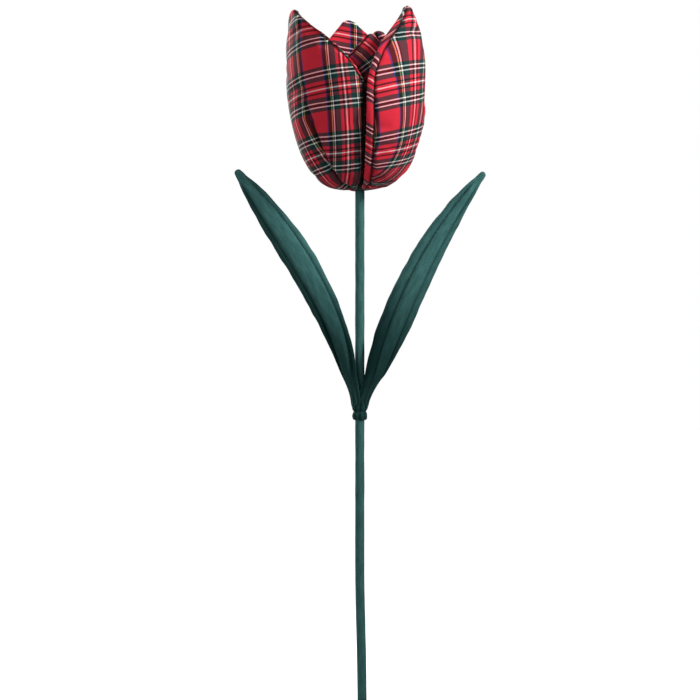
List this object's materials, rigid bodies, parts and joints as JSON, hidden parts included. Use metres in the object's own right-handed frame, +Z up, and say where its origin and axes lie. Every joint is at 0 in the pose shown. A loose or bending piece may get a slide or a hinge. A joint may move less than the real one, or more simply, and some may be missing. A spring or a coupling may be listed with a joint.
{
  "type": "artificial tulip",
  "caption": "Artificial tulip with a padded red tartan flower head, a velvet-sleeved wire stem and bendable velvet leaves, for standing in a vase.",
  "frame": {"origin": "centre of the stem's cut lower end", "axes": "+Z up along the stem, +X to the right of the pictured side, -Y towards its viewer"},
  "size_m": [0.2378, 0.1272, 0.6548],
  "materials": {
    "tartan": "matte",
    "velvet": "matte",
    "wadding": "matte",
    "wire": "satin",
    "plastic": "matte"
  },
  "bodies": {
    "stem": {"stem_wire": "wire", "stem_tube": "plastic", "stem_sleeve": "velvet", "leaf_binding": "velvet"},
    "flower_head": {"flower_core": "plastic", "head_wire": "wire", "inner_petal_front_face": "tartan", "inner_petal_front_lining": "tartan", "inner_petal_front_padding": "wadding", "inner_petal_front_wire": "wire", "inner_petal_right_face": "tartan", "inner_petal_right_lining": "tartan", "inner_petal_right_padding": "wadding", "inner_petal_right_wire": "wire", "inner_petal_left_face": "tartan", "inner_petal_left_lining": "tartan", "inner_petal_left_padding": "wadding", "inner_petal_left_wire": "wire"},
    "petal_right": {"petal_right_face": "tartan", "petal_right_lining": "tartan", "petal_right_padding": "wadding", "petal_right_wire": "wire"},
    "petal_back": {"petal_back_face": "tartan", "petal_back_lining": "tartan", "petal_back_padding": "wadding", "petal_back_wire": "wire"},
    "petal_left": {"petal_left_face": "tartan", "petal_left_lining": "tartan", "petal_left_padding": "wadding", "petal_left_wire": "wire"},
    "leaf_left": {"leaf_left_front": "velvet", "leaf_left_back": "velvet", "leaf_left_wire": "wire"},
    "leaf_right": {"leaf_right_front": "velvet", "leaf_right_back": "velvet", "leaf_right_wire": "wire"}
  },
  "joints": [
    {"name": "neck_nod", "type": "hinge", "parent": "stem", "child": "flower_head", "pos_m": [-0.0021, 0, 0.47], "axis": [1, 0, 0], "range_deg": [-30, 60], "deforming": ["stem_sleeve"]},
    {"name": "petal_right_open", "type": "hinge", "parent": "flower_head", "child": "petal_right", "pos_m": [0.00346, -0.00296, 0.4833], "axis": [0.4695, 0.8829, 0], "range_deg": [0, 20]},
    {"name": "petal_back_open", "type": "hinge", "parent": "flower_head", "child": "petal_back", "pos_m": [-0.0033, 0.00618, 0.4833], "axis": [-0.9816, -0.1908, 0], "range_deg": [0, 20]},
    {"name": "petal_left_open", "type": "hinge", "parent": "flower_head", "child": "petal_left", "pos_m": [-0.00812, -0.00184, 0.4833], "axis": [0.2924, -0.9563, 0], "range_deg": [0, 20]},
    {"name": "leaf_left_bend", "type": "hinge", "parent": "stem", "child": "leaf_left", "pos_m": [-0.0108, -0.0028, 0.2823], "axis": [0, -1, 0], "range_deg": [0, 55]},
    {"name": "leaf_right_bend", "type": "hinge", "parent": "stem", "child": "leaf_right", "pos_m": [0.0066, -0.0028, 0.2823], "axis": [0, 1, 0], "range_deg": [0, 55]}
  ]
}
